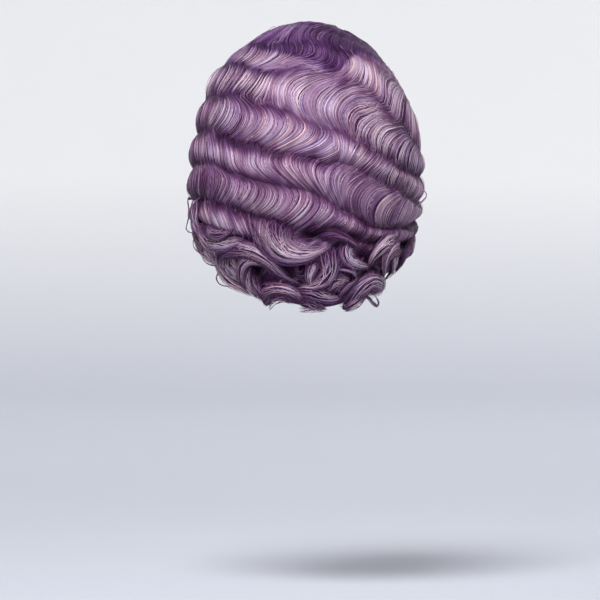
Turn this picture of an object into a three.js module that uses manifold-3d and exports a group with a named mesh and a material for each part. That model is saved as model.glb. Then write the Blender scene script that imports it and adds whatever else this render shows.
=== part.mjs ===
// A short finger-waved wig, as worn: a thin fitted cap, nine rolls of waved hair that run round the head
// from a side parting, and a fringe of curled locks along the nape and jaw.
//
// Millimetres, +Z up. The wearer faces -Y, so the wearer's left is +X and the back of the head is +Y.
// The origin is the inside of the cap at the crown, where the wig sits on the head.
import * as THREE from "three";
import { mergeVertices } from "three/addons/utils/BufferGeometryUtils.js";
import Module from "manifold-3d";

const wasm = await Module();
wasm.setup();

// Driving dimensions
const CAP_WALL = 1.2;
const PIECE_GAP = 0.4; // clearance between neighbouring pieces
const FORM_CENTRE_Z = -166; // level that both forms below are centred on
const HAIR_CROWN_Z = 14; // top of the hair above the inside of the cap
const PARTING_SLIT = 0.7; // half width of the parting, in degrees of arc
const CAP_ROLLS = 8; // the cap reaches down behind this many rolls
const CAP_EDGE = 174; // how far forward the cap comes, where 180 is the edge of the hair
const SWING = 15; // sideways sweep of the hair in a roll
const CALM_REACH = 45; // nearer the parting than this (degrees), the sweep is less
const ROLL_SKEW = 1.4; // above 1, a roll is fullest below its middle
const ROLL_ROUND = 0.8; // under 1, a roll is round and its valleys are sharp

// Facets
const COLUMNS = 40; // round the head, from the right face edge to the left
const ROLL_ROWS = 4;
const FRINGE_ROWS = 2;
const LOCK_STEPS = 7;
const LOCK_SIDES = 5;
const FRINGE_DETAIL = 0.25; // slivers under this are merged away where locks cross

// Half-axes of the smooth outside of the hair, and of the head inside the cap, at each height.
const HAIR_FORM = [
  { height: -235, left: 56, right: 58, back: 66, front: 68 },
  { height: -215, left: 68, right: 69, back: 76, front: 76 },
  { height: -195, left: 82, right: 81, back: 86, front: 84 },
  { height: -180, left: 91, right: 89, back: 93, front: 90 },
  { height: -160, left: 99, right: 94, back: 101, front: 95 },
  { height: -140, left: 102, right: 99, back: 108, front: 101 },
  { height: -113, left: 106, right: 104, back: 117, front: 109 },
  { height: -80, left: 110, right: 108, back: 127, front: 119 },
  { height: -50, left: 115, right: 111, back: 134, front: 127 },
  { height: -28, left: 120, right: 111, back: 137, front: 131 },
  { height: -5, left: 115, right: 115, back: 134, front: 131 },
  { height: 14, left: 110, right: 116, back: 129, front: 129 },
];
const HEAD_FORM = [
  { height: -235, left: 51, right: 51, back: 49, front: 60 },
  { height: -190, left: 57, right: 57, back: 61, front: 70 },
  { height: -150, left: 69, right: 69, back: 80, front: 84 },
  { height: -110, left: 80, right: 80, back: 98, front: 98 },
  { height: -70, left: 89, right: 89, back: 111, front: 111 },
  { height: -30, left: 99, right: 99, back: 125, front: 125 },
  { height: 0, left: 104, right: 104, back: 131, front: 130 },
];

// The parting: a line on the wearer's right of the crown, seen from the form's centre.
const PARTING_MIDDLE = { right: 0.24, forward: 0.326 };
const PARTING_HALF = 21; // degrees of arc from its middle to each end

// How far round from the back the hair reaches on each side, for each distance from the parting (degrees).
const FACE_EDGE = [
  { reach: 0, left: 180, right: 180 },
  { reach: 12, left: 166, right: 167 },
  { reach: 24, left: 150, right: 132 },
  { reach: 36, left: 133, right: 116 },
  { reach: 50, left: 121, right: 110 },
  { reach: 65, left: 116, right: 109 },
  { reach: 80, left: 115, right: 109 },
  { reach: 135, left: 118, right: 109 },
];

// The valley below each roll: its distance from the parting in degrees, read at seven places from the left
// edge of the face round the back to the right edge, and its depth in millimetres.
const PLACES = ["leftEdge", "left", "backLeft", "back", "backRight", "right", "rightEdge"];
const VALLEYS = [
  { leftEdge: 13, left: 13, backLeft: 13, back: 13, backRight: 13, right: 13, rightEdge: 10, depth: 2.0 },
  { leftEdge: 26, left: 27, backLeft: 27, back: 27, backRight: 26, right: 25, rightEdge: 18, depth: 2.0 },
  { leftEdge: 38, left: 40, backLeft: 41, back: 41, backRight: 39, right: 38, rightEdge: 27, depth: 2.5 },
  { leftEdge: 50, left: 51, backLeft: 57, back: 57, backRight: 54, right: 54, rightEdge: 38, depth: 4.5 },
  { leftEdge: 61, left: 65, backLeft: 69, back: 72, backRight: 72, right: 63, rightEdge: 47, depth: 5.5 },
  { leftEdge: 71, left: 77, backLeft: 84, back: 84, backRight: 78, right: 70, rightEdge: 54, depth: 6.5 },
  { leftEdge: 80, left: 88, backLeft: 94, back: 93, backRight: 91, right: 77, rightEdge: 60, depth: 7.0 },
  { leftEdge: 88, left: 98, backLeft: 103, back: 103, backRight: 97, right: 83, rightEdge: 66, depth: 7.5 },
  { leftEdge: 95, left: 105, backLeft: 113, back: 114, backRight: 104, right: 88, rightEdge: 70, depth: 8.0 },
];
const HEM = { leftEdge: 100, left: 112, backLeft: 130, back: 129, backRight: 118, right: 93, rightEdge: 74 };
const FRINGE_SINK = 6; // the fringe's backing lies this far inside the hair's outline
const HEM_THINNING = 0.45; // share of the backing's thickness that is left at the hem
const EDGE_THINNING = 0.5; // share of the hair's thickness that is left at the face edge
const EDGE_START = 145; // where that thinning starts, on the scale of CAP_EDGE

// Curled locks of the fringe. Each starts at an angle round from the back (degrees, wearer's right positive)
// and a height, heads off at an angle from straight down (right positive), and turns as it runs.
const LOCK_COLUMNS = ["around", "height", "heading", "turn", "length", "width", "lift"];
const LOCKS = [
  [-112, -172, 10, 200, 42, 14, 4],
  [-101, -170, -10, -200, 44, 14, 5],
  [-90, -172, 0, 200, 44, 14, 5],
  [-80, -176, 10, 150, 40, 13, 4],
  [-73, -155, 10, 60, 32, 12, 5],
  [-68, -135, -20, 60, 28, 11, 6],
  [-66, -164, 0, 120, 47, 14, 5],
  [-60, -179, 20, 70, 46, 14, 3],
  [-53, -148, 45, -230, 49, 13, 6],
  [-46, -175, -30, 210, 40, 13, 6],
  [-46, -201, 10, 100, 36, 13, 3],
  [-33, -181, 60, -30, 50, 14, 7],
  [-29, -182, -20, 90, 40, 14, 4],
  [-24, -155, 10, 150, 76, 20, 7],
  [-22, -197, 60, 20, 50, 15, 4],
  [-13, -208, -10, 110, 32, 13, 3],
  [-6, -186, 20, -60, 40, 15, 4],
  [6, -160, 70, -110, 42, 14, 6],
  [6, -213, 0, -110, 30, 13, 3],
  [8, -177, 60, -130, 48, 16, 7],
  [17, -194, 10, 115, 62, 19, 8],
  [24, -169, 30, -40, 38, 15, 5],
  [29, -189, 10, 60, 44, 14, 4],
  [41, -190, 70, -180, 44, 15, 11],
  [43, -213, 60, -170, 20, 7, 3],
  [52, -160, -55, 190, 60, 18, 9],
  [58, -159, 0, -70, 36, 14, 5],
  [58, -170, 30, 150, 28, 11, 5],
  [76, -172, 10, 190, 42, 14, 5],
  [87, -172, -10, -200, 42, 14, 5],
  [98, -172, 10, 200, 42, 14, 5],
  [109, -172, -10, -190, 40, 13, 4],
].map((row) => Object.fromEntries(LOCK_COLUMNS.map((name, i) => [name, row[i]])));
const LOCK_FLATNESS = 0.62; // thickness over width
const LOCK_TAPER = 0.45; // width at a lock's tip over its full width

const radians = THREE.MathUtils.degToRad;
const clamp = THREE.MathUtils.clamp;

// A smooth curve through one column of a table that is in order of its `key` column.
function readTable(rows, key, column, at) {
  let i = 0;
  while (i < rows.length - 2 && at > rows[i + 1][key]) i += 1;
  const slope = (j) => {
    const before = rows[Math.max(j - 1, 0)];
    const after = rows[Math.min(j + 1, rows.length - 1)];
    return (after[column] - before[column]) / (after[key] - before[key]);
  };
  const step = rows[i + 1][key] - rows[i][key];
  const t = clamp((at - rows[i][key]) / step, 0, 1);
  const stay = 2 * t ** 3 - 3 * t ** 2 + 1;
  const leave = t ** 3 - 2 * t ** 2 + t;
  const arrive = t ** 3 - t ** 2;
  return (
    stay * rows[i][column] +
    (1 - stay) * rows[i + 1][column] +
    step * (leave * slope(i) + arrive * slope(i + 1))
  );
}

// The axes that the parting's own map of the head is drawn on: its middle, then back and right from there.
const mapUp = new THREE.Vector3(-PARTING_MIDDLE.right, -PARTING_MIDDLE.forward, 0);
mapUp.z = Math.sqrt(1 - mapUp.lengthSq());
const mapBack = new THREE.Vector3(0, 1, 0).addScaledVector(mapUp, -mapUp.y).normalize();
const mapRight = new THREE.Vector3().crossVectors(mapUp, mapBack);

// Direction from the form's centre to a place on the head. Lines of equal reach are ovals round the parting,
// and lines of equal place leave the parting squarely and run down to the hem. Both are in degrees.
function direction(place, reach) {
  const half = Math.hypot(reach, PARTING_HALF);
  const back = radians(half * Math.cos(radians(place)));
  const right = radians(reach * Math.sin(radians(place)));
  const arc = Math.hypot(back, right);
  const spread = arc > 0 ? Math.sin(arc) / arc : 1;
  return new THREE.Vector3()
    .addScaledVector(mapUp, Math.cos(arc))
    .addScaledVector(mapBack, spread * back)
    .addScaledVector(mapRight, spread * right);
}

// The point of a form in a direction, and the same for a form grown outwards.
function onForm(form, crown, towards, grow = 0) {
  const halfHeight = crown - FORM_CENTRE_Z;
  const z = FORM_CENTRE_Z + halfHeight * towards.z;
  const sideways = towards.x > 0 ? "left" : "right";
  const lengthwise = towards.y > 0 ? "back" : "front";
  return new THREE.Vector3(
    (readTable(form, "height", sideways, z) + grow) * towards.x,
    (readTable(form, "height", lengthwise, z) + grow) * towards.y,
    FORM_CENTRE_Z + (halfHeight + grow) * towards.z,
  );
}

// Millimetres on the outside of the hair for one degree of place.
function strideAt(place, reach) {
  const at = (degrees) => onForm(HAIR_FORM, HAIR_CROWN_Z, direction(degrees, reach));
  return Math.max(at(place).distanceTo(at(place + 1)), 0.2);
}

// A table whose rows are read across the head: `across` runs from -180 at the left face edge to 180 at the right.
const placeSpacing = 360 / (PLACES.length - 1);
function readAcross(row, across) {
  const rows = PLACES.map((name, i) => ({ at: -180 + i * placeSpacing, reach: row[name] }));
  return readTable(rows, "at", "reach", clamp(across, -180, 180));
}

// Distance from the parting at a roll coordinate: whole numbers are the valleys, and the last one is the hem.
function reachOf(roll, across) {
  const lines = [0, ...VALLEYS.map((row) => readAcross(row, across)), readAcross(HEM, across)];
  const rows = lines.map((reach, at) => ({ at, reach }));
  return readTable(rows, "at", "reach", roll);
}

// Place round the head of a line that keeps its share of the way from the back to the face edge.
function placeOf(reach, across) {
  return (across * readTable(FACE_EDGE, "reach", across < 0 ? "left" : "right", reach)) / 180;
}

// Direction to a point of the hair. A lengthwise line of hair sweeps left in one roll and right in the next,
// and less near the parting and the face edge.
function hairDirection(roll, across) {
  const straight = reachOf(roll, across);
  const calm = Math.min(1, straight / CALM_REACH) * (1 - 0.5 * (Math.abs(across) / 180) ** 4);
  const place = placeOf(straight, across);
  const stride = strideAt(place, straight) * Math.max(place / across || 0, 0.5);
  const sweep = roll > VALLEYS.length ? 0 : SWING * calm * Math.sin(Math.PI * roll);
  const swept = across - sweep / stride;
  const reach = reachOf(roll, swept);
  return direction(placeOf(reach, swept), reach);
}

// The inside of the hair, a gap outside the cap's wall.
function insidePoint(roll, across, grow = 0) {
  return onForm(HEAD_FORM, 0, hairDirection(roll, across), CAP_WALL + PIECE_GAP + grow);
}

// The outside of the hair, sunk below the smooth form by a share of its own thickness at most.
function outsidePoint(roll, across, sink, grow = 0) {
  const towards = hairDirection(roll, across);
  const inside = onForm(HEAD_FORM, 0, towards, CAP_WALL + PIECE_GAP);
  const outside = onForm(HAIR_FORM, HAIR_CROWN_Z, towards);
  const thickness = inside.distanceTo(outside);
  const edge = clamp((Math.abs(across) - EDGE_START) / (180 - EDGE_START), 0, 1);
  const thinned = 1 - (1 - EDGE_THINNING) * edge ** 2;
  const share = (1 - Math.min(sink / thickness, 0.55)) * thinned + grow / thickness;
  return inside.lerp(outside, share);
}

// Depth below the smooth form at a share of the way down a roll.
function rollSink(index, share) {
  const above = index > 0 ? VALLEYS[index - 1].depth : 1;
  const valley = THREE.MathUtils.lerp(above, VALLEYS[index].depth, share);
  const full = Math.abs(Math.sin(Math.PI * clamp(share, 0, 1) ** ROLL_SKEW)) ** ROLL_ROUND;
  return valley * (1 - full);
}

// A closed solid through a run of closed loops, each with the same number of points, with flat ends.
function loft(loops) {
  const size = loops[0].length;
  const corners = [];
  const face = (...points) => corners.push(...points);
  for (let i = 0; i < loops.length - 1; i += 1) {
    for (let j = 0; j < size; j += 1) {
      const k = (j + 1) % size;
      face(loops[i][j], loops[i + 1][j], loops[i + 1][k]);
      face(loops[i][j], loops[i + 1][k], loops[i][k]);
    }
  }
  const first = loops[0];
  const last = loops[loops.length - 1];
  const middle = (loop) => loop.reduce((sum, p) => sum.add(p), new THREE.Vector3()).divideScalar(size);
  for (let j = 0; j < size; j += 1) {
    const k = (j + 1) % size;
    face(middle(first), first[j], first[k]);
    face(middle(last), last[k], last[j]);
  }
  return new THREE.BufferGeometry().setFromPoints(corners);
}

const columnsAcross = Array.from({ length: COLUMNS + 1 }, (_, i) => 180 - (360 * i) / COLUMNS);

// One roll of waved hair between two valleys, following the waves on its outside and the cap on its inside.
function rollGeometry(index, grow = 0) {
  const inset = PIECE_GAP / 2 - grow;
  const loops = columnsAcross.map((across) => {
    const degrees = reachOf(index + 1, across) - reachOf(index, across);
    const trim = inset / (degrees * 1.8);
    const start = index === 0 ? PARTING_SLIT / degrees : index + trim;
    const end = index + 1 - trim;
    const limit = CAP_EDGE + 2 + grow;
    const edge = clamp(across, -limit, limit);
    const outer = [];
    for (let row = 0; row <= ROLL_ROWS; row += 1) {
      const roll = start + ((end - start) * row) / ROLL_ROWS;
      outer.push(outsidePoint(roll, edge, rollSink(index, roll - index), grow));
    }
    return [...outer, insidePoint(end, edge, -grow), insidePoint(start, edge, -grow)];
  });
  return loft(loops);
}

// The fitted cap: a thin wall between two sheets that follow the head from the parting down to its rim.
function capGeometry() {
  const sheet = (grow) => {
    const corners = [];
    const at = (row, column) => {
      const across = clamp(columnsAcross[COLUMNS - column], -CAP_EDGE, CAP_EDGE);
      return onForm(HEAD_FORM, 0, hairDirection(row, across), grow);
    };
    for (let row = 0; row < CAP_ROLLS; row += 1) {
      for (let column = 0; column < COLUMNS; column += 1) {
        const [a, b] = [at(row, column), at(row, column + 1)];
        const [c, d] = [at(row + 1, column + 1), at(row + 1, column)];
        corners.push(a, d, c, a, c, b);
      }
    }
    return mergeVertices(new THREE.BufferGeometry().setFromPoints(corners), 1e-3);
  };
  return wallBetween(sheet(CAP_WALL), sheet(0));
}

// A wall between two sheets with the same triangles: the sheets, and a strip along each edge with one triangle.
function wallBetween(outside, inside) {
  const corner = (geometry, i) => new THREE.Vector3().fromBufferAttribute(geometry.attributes.position, i);
  const index = outside.index.array;
  const edges = new Map();
  const corners = [];
  for (let i = 0; i < index.length; i += 3) {
    const [a, b, c] = index.subarray(i, i + 3);
    if (a === b || b === c || c === a) continue;
    corners.push(corner(outside, a), corner(outside, b), corner(outside, c));
    corners.push(corner(inside, a), corner(inside, c), corner(inside, b));
    for (const [from, to] of [[a, b], [b, c], [c, a]]) {
      if (!edges.delete(`${to} ${from}`)) edges.set(`${from} ${to}`, [from, to]);
    }
  }
  for (const [from, to] of edges.values()) {
    corners.push(corner(outside, from), corner(inside, from), corner(inside, to));
    corners.push(corner(outside, from), corner(inside, to), corner(outside, to));
  }
  return new THREE.BufferGeometry().setFromPoints(corners);
}

// The path of a lock over the smooth form: it turns steadily on the surface, and stands off it midway.
function lockPath(lock) {
  const stepLength = lock.length / LOCK_STEPS;
  const points = [];
  const outwards = [];
  let { around, height } = lock;
  for (let i = 0; i <= LOCK_STEPS; i += 1) {
    const share = i / LOCK_STEPS;
    const level = (height - FORM_CENTRE_Z) / (HAIR_CROWN_Z - FORM_CENTRE_Z);
    const flat = Math.sqrt(1 - level ** 2);
    const turned = radians(around);
    const towards = new THREE.Vector3(-flat * Math.sin(turned), flat * Math.cos(turned), level);
    const surface = onForm(HAIR_FORM, HAIR_CROWN_Z, towards);
    const out = surface.clone().sub(onForm(HEAD_FORM, 0, towards)).normalize();
    const stand = lock.lift * Math.sin(Math.PI * share) - (lock.width * LOCK_FLATNESS) / 2;
    points.push(surface.clone().addScaledVector(out, stand));
    outwards.push(out);
    const heading = radians(lock.heading + lock.turn * share ** 1.3);
    height -= stepLength * Math.cos(heading);
    around += THREE.MathUtils.radToDeg((stepLength * Math.sin(heading)) / Math.hypot(surface.x, surface.y));
  }
  return { points, outwards };
}

// A lock of hair: an oval section carried along its path, rounded at the root and narrowing to the tip.
function lockGeometry(lock) {
  const { points, outwards } = lockPath(lock);
  const loops = points.map((point, i) => {
    const share = i / LOCK_STEPS;
    const before = points[Math.max(i - 1, 0)];
    const after = points[Math.min(i + 1, LOCK_STEPS)];
    const along = after.clone().sub(before).normalize();
    const sideways = new THREE.Vector3().crossVectors(along, outwards[i]).normalize();
    const up = new THREE.Vector3().crossVectors(sideways, along);
    const ease = Math.min(1, 0.6 + 2 * share);
    const half = (lock.width / 2) * ease * (1 - (1 - LOCK_TAPER) * share ** 2);
    return Array.from({ length: LOCK_SIDES }, (_, side) => {
      const angle = (2 * Math.PI * side) / LOCK_SIDES;
      return point
        .clone()
        .addScaledVector(sideways, half * Math.cos(angle))
        .addScaledVector(up, half * LOCK_FLATNESS * Math.sin(angle));
    });
  });
  return loft(loops);
}

// The wall that the locks grow from, thinning towards the hem.
function fringeBackingGeometry() {
  const top = VALLEYS.length;
  const loops = columnsAcross.map((across) => {
    const degrees = reachOf(top + 1, across) - reachOf(top, across);
    const start = top + PIECE_GAP / (degrees * 1.8);
    const edge = clamp(across, -CAP_EDGE, CAP_EDGE);
    const outer = [];
    const inner = [];
    for (let row = 0; row <= FRINGE_ROWS; row += 1) {
      const share = row / FRINGE_ROWS;
      const roll = THREE.MathUtils.lerp(start, top + 1, share);
      const outside = outsidePoint(roll, edge, FRINGE_SINK);
      const inside = insidePoint(roll, edge);
      outer.push(outside);
      inner.unshift(inside.lerp(outside, share * (1 - HEM_THINNING)));
    }
    return [...outer, ...inner];
  });
  return loft(loops);
}

// Joins and cuts work on closed meshes of bare positions.
function solidOf(geometry) {
  const welded = mergeVertices(geometry, 1e-4);
  return new wasm.Manifold(
    new wasm.Mesh({
      numProp: 3,
      vertProperties: new Float32Array(welded.attributes.position.array),
      triVerts: new Uint32Array(welded.index.array),
    }),
  );
}

function geometryOf(solid) {
  const { vertProperties, triVerts } = solid.getMesh();
  const geometry = new THREE.BufferGeometry();
  geometry.setAttribute("position", new THREE.BufferAttribute(vertProperties, 3));
  geometry.setIndex(new THREE.BufferAttribute(triVerts, 1));
  return geometry;
}

// The fringe: every lock fused to the backing, cut clear of the rolls above it.
function fringeGeometry() {
  const locks = LOCKS.map((lock) => solidOf(lockGeometry(lock)));
  const joined = locks.reduce((sum, lock) => sum.add(lock), solidOf(fringeBackingGeometry()));
  const whole = joined.simplify(FRINGE_DETAIL);
  const rolls = [VALLEYS.length - 1, VALLEYS.length - 2, VALLEYS.length - 3];
  const cut = rolls.reduce((rest, index) => rest.subtract(solidOf(rollGeometry(index, PIECE_GAP))), whole);
  const pieces = cut.simplify(FRINGE_DETAIL / 10).decompose().sort((a, b) => b.volume() - a.volume());
  return geometryOf(pieces[0]);
}

const hair = new THREE.MeshStandardMaterial({ color: 0x7a5684, roughness: 0.42, metalness: 0 });
const shadedHair = new THREE.MeshStandardMaterial({ color: 0x674672, roughness: 0.45, metalness: 0 });
const net = new THREE.MeshStandardMaterial({ color: 0x3b2b42, roughness: 0.9, metalness: 0 });

const wig = new THREE.Group();
wig.name = "finger_waved_wig";

function addPiece(name, geometry, material) {
  geometry.computeVertexNormals();
  const mesh = new THREE.Mesh(geometry, material);
  mesh.name = name;
  wig.add(mesh);
}

addPiece("wig_cap", capGeometry(), net);
VALLEYS.forEach((_, index) => addPiece(`wave_${index + 1}`, rollGeometry(index), hair));
addPiece("curled_fringe", fringeGeometry(), shadedHair);

export default wig;
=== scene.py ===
import math

import bpy
import numpy as np
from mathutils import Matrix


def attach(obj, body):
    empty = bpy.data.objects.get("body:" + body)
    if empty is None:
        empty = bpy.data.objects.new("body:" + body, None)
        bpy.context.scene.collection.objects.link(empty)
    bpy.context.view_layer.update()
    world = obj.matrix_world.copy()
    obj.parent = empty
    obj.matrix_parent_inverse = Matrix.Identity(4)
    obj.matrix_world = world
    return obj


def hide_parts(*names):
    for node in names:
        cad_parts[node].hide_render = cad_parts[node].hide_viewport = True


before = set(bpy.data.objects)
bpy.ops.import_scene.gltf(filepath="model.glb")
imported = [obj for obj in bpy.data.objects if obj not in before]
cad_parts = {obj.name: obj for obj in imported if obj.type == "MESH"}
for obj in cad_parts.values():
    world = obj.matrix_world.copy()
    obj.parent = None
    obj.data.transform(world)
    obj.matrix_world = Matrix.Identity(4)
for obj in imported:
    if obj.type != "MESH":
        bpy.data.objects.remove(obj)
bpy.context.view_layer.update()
print("frame loaded with", len(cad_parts), "nodes")

# The wig's two forms, in millimetres: half-axes of the hair's smooth outside and of the head in the cap.
wigForm = {
    "centreZ": -166.0,
    "capWall": 1.2,
    "gap": 0.4,
    "hair": {
        "crownZ": 14.0,
        "height": [-235, -215, -195, -180, -160, -140, -113, -80, -50, -28, -5, 14],
        "left": [56, 68, 82, 91, 99, 102, 106, 110, 115, 120, 115, 110],
        "right": [58, 69, 81, 89, 94, 99, 104, 108, 111, 111, 115, 116],
        "back": [66, 76, 86, 93, 101, 108, 117, 127, 134, 137, 134, 129],
        "front": [68, 76, 84, 90, 95, 101, 109, 119, 127, 131, 131, 129],
    },
    "head": {
        "crownZ": 0.0,
        "height": [-235, -190, -150, -110, -70, -30, 0],
        "left": [51, 57, 69, 80, 89, 99, 104],
        "right": [51, 57, 69, 80, 89, 99, 104],
        "back": [49, 61, 80, 98, 111, 125, 131],
        "front": [60, 70, 84, 98, 111, 125, 130],
    },
}

# The picture's scale: millimetres a pixel, and the pixel column and row of the wig's middle and crown.
picture = {"pixel": 0.844, "middle": 307.0, "crown": 21.5}

# The waves are laid out on ovals round a side parting. Reach is degrees of arc away from the parting, and
# across runs from -180 at the left edge of the face, round the back, to 180 at the right edge.
waveMap = {
    "partingRight": 0.24,
    "partingForward": 0.326,
    "partingHalf": 21.0,
    # degrees round from the back where the face edge lies, at each reach
    "edgeReach": [0, 12, 24, 36, 50, 65, 80, 135],
    "edgeLeft": [180, 166, 150, 133, 121, 116, 115, 118],
    "edgeRight": [180, 167, 132, 116, 110, 109, 109, 109],
    # reach of each valley line, at these places across
    "valleyAcross": [-180, -120, -60, 0, 60, 120, 180],
    "valleyReach": [
        [0, 0, 0, 0, 0, 0, 0],
        [13, 13, 13, 13, 13, 13, 10],
        [26, 27, 27, 27, 26, 25, 18],
        [38, 40, 41, 41, 39, 38, 27],
        [50, 51, 57, 57, 54, 54, 38],
        [61, 65, 69, 72, 72, 63, 47],
        [71, 77, 84, 84, 78, 70, 54],
        [80, 88, 94, 93, 91, 77, 60],
        [88, 98, 103, 103, 97, 83, 66],
        [95, 105, 113, 114, 104, 88, 70],
        [100, 112, 130, 129, 118, 93, 74],
    ],
    # millimetres that the hair sinks in each valley, at these places across
    "depthAcross": [-140, -95, 0, 90],
    "valleyDepth": [
        [2.5, 2.5, 3.0, 2.5],
        [1.0, 1.0, 1.0, 1.0],
        [1.2, 1.2, 1.4, 1.2],
        [1.0, 1.0, 0.8, 1.2],
        [2.4, 2.4, 5.0, 3.0],
        [5.2, 4.0, 7.0, 5.5],
        [7.4, 5.2, 8.6, 7.0],
        [8.4, 5.0, 9.4, 8.6],
        [9.4, 7.0, 10.0, 9.4],
        [10.0, 9.0, 10.4, 10.0],
        [10.0, 10.0, 10.4, 10.0],
    ],
    "places": [-130, -85, -55, -25, 5, 28, 62, 130],  # across, for the next two tables and the leans
    # share of a roll that its hollow lies below the valley line
    "lateHollow": [
        [0.0] * 8,
        [0.0] * 8,
        [0.0] * 8,
        [0.0, 0.45, 0.42, 0.05, -0.1, -0.25, -0.35, 0.0],
        [0.1, 0.22, 0.32, -0.17, -0.27, -0.23, 0.15, 0.1],
        [0.15, 0.24, 0.21, 0.17, 0.07, -0.02, -0.03, 0.05],
        [0.1, 0.2, 0.21, 0.18, 0.1, -0.02, 0.1, 0.15],
        [0.1, 0.1, 0.26, 0.24, 0.2, 0.17, 0.1, 0.1],
        [0.1, 0.22, 0.31, 0.34, 0.33, -0.05, 0.0, 0.0],
        [0.1, 0.25, 0.35, 0.3, 0.1, 0.0, 0.0, 0.0],
        [0.0] * 8,
    ],
    # share of a roll that its crest lies below the middle between two valley lines
    "lateCrest": [
        [0.0] * 8,
        [0.0] * 8,
        [0.0, 0.15, 0.1, 0.0, -0.1, -0.15, -0.2, 0.0],
        [0.0, 0.46, 0.5, -0.05, -0.28, -0.2, 0.1, 0.1],
        [0.1, 0.27, 0.35, 0.12, 0.0, 0.2, 0.24, 0.1],
        [0.1, 0.13, 0.32, 0.2, 0.12, 0.0, 0.2, 0.15],
        [0.1, 0.17, 0.35, 0.22, 0.18, 0.12, 0.15, 0.1],
        [0.1, 0.15, 0.33, 0.28, 0.2, 0.03, 0.0, 0.0],
        [0.1, 0.27, 0.4, 0.3, 0.1, 0.1, 0.0, 0.0],
        [0.0] * 8,
    ],
    "wobble": 0.07,  # rolls that the hollows stray up and down, over this many degrees across
    "wobbleAcross": 9.0,
    "wobbleSeat": 61.7,  # so far apart the hollows read their noise
    "round": 0.8,  # below 1 the rolls are fuller and the valleys sharper
    "deepest": 0.55,  # share of the hair's thickness that a valley may take
    "edgeStart": 145.0,  # from here on across the hair thins to this share at the face edge
    "edgeThinning": 0.5,
    "fringeSink": 6.0,
}
rollCount = len(waveMap["valleyReach"]) - 2
millimetre = 0.001  # in metres
toneEnds = (0.02, 0.98)  # a strand's tone stays between these
randomHair = np.random.default_rng(1926)
noiseTable = randomHair.uniform(-1, 1, 4096)
noiseSeats = (0, 4000)  # where on its line a strand may read the noise


# Smooth noise along a line: random heights at whole numbers, eased from one to the next.
def lineNoise(at):
    low = np.floor(at).astype(int)
    t = at - low
    ease = t * t * (3 - 2 * t)
    size = len(noiseTable)
    return noiseTable[low % size] * (1 - ease) + noiseTable[(low + 1) % size] * ease


# Cubic curve through a table: each row's slope is the rise over the run between its two neighbours. The
# values are one number a row, or one a row for every point.
def readCurve(keys, values, at):
    keys = np.asarray(keys, float)
    values = np.asarray(values, float)
    row = np.arange(len(keys))
    before = np.maximum(row - 1, 0)
    after = np.minimum(row + 1, len(keys) - 1)
    run = (keys[after] - keys[before]).reshape((-1,) + (1,) * (values.ndim - 1))
    slope = (values[after] - values[before]) / run
    i = np.clip(np.searchsorted(keys, at, side="right") - 1, 0, len(keys) - 2)
    step = keys[i + 1] - keys[i]
    t = np.clip((at - keys[i]) / step, 0, 1)
    stay = 2 * t**3 - 3 * t**2 + 1
    leave = t**3 - 2 * t**2 + t
    arrive = t**3 - t**2
    if values.ndim == 1:
        ends = values[i], values[i + 1], slope[i], slope[i + 1]
    else:
        point = np.arange(len(at))
        ends = values[i, point], values[i + 1, point], slope[i, point], slope[i + 1, point]
    return stay * ends[0] + (1 - stay) * ends[1] + step * (leave * ends[2] + arrive * ends[3])


def unit(vectors):  # each vector over its own length
    return vectors / np.maximum(np.linalg.norm(vectors, axis=-1, keepdims=True), 1e-9)


# Axes of the map of the waves: up through the middle of the parting, then back and right from there.
mapUp = np.array([-waveMap["partingRight"], -waveMap["partingForward"], 0.0])
mapUp[2] = math.sqrt(1 - mapUp @ mapUp)
mapBack = unit(np.array([0.0, 1.0, 0.0]) - mapUp * mapUp[1])
mapRight = np.cross(mapUp, mapBack)


# Direction of a place on confocal ovals: the oval's long half-axis is the hypotenuse of reach and half the
# parting, its short one is reach, and the arc so found is wrapped round the sphere from the parting's middle.
def mapDirection(place, reach):
    back = np.radians(np.hypot(reach, waveMap["partingHalf"]) * np.cos(np.radians(place)))
    right = np.radians(reach * np.sin(np.radians(place)))
    arc = np.maximum(np.hypot(back, right), 1e-6)
    spread = np.sin(arc) / arc
    flat = (spread * back)[:, None] * mapBack + (spread * right)[:, None] * mapRight
    return np.cos(arc)[:, None] * mapUp + flat


# Point of a form in a direction: each part of the direction times the half-axis at that height.
def formPoint(form, towards, grow=0.0):
    halfHeight = form["crownZ"] - wigForm["centreZ"]
    z = wigForm["centreZ"] + halfHeight * towards[:, 2]
    side = np.where(
        towards[:, 0] > 0,
        readCurve(form["height"], form["left"], z),
        readCurve(form["height"], form["right"], z),
    )
    length = np.where(
        towards[:, 1] > 0,
        readCurve(form["height"], form["back"], z),
        readCurve(form["height"], form["front"], z),
    )
    tall = wigForm["centreZ"] + (halfHeight + grow) * towards[:, 2]
    return np.stack([(side + grow) * towards[:, 0], (length + grow) * towards[:, 1], tall], 1)


def reachOf(roll, across):  # reach on a roll coordinate, where whole numbers are the valleys
    table = np.array(waveMap["valleyReach"], float)
    held = np.clip(across, -180, 180)
    lines = np.stack([readCurve(waveMap["valleyAcross"], row, held) for row in table])
    return readCurve(np.arange(len(table)), lines, roll)


def placeOf(reach, across):  # the share of the way to the face edge, kept at every reach
    left = readCurve(waveMap["edgeReach"], waveMap["edgeLeft"], reach)
    right = readCurve(waveMap["edgeReach"], waveMap["edgeRight"], reach)
    return across * np.where(across < 0, left, right) / 180


# Direction of a point of the hair: the oval at its reach, at its place on the way round.
def hairDirection(roll, across):
    reach = reachOf(roll, across)
    return mapDirection(placeOf(reach, across), reach)


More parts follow.
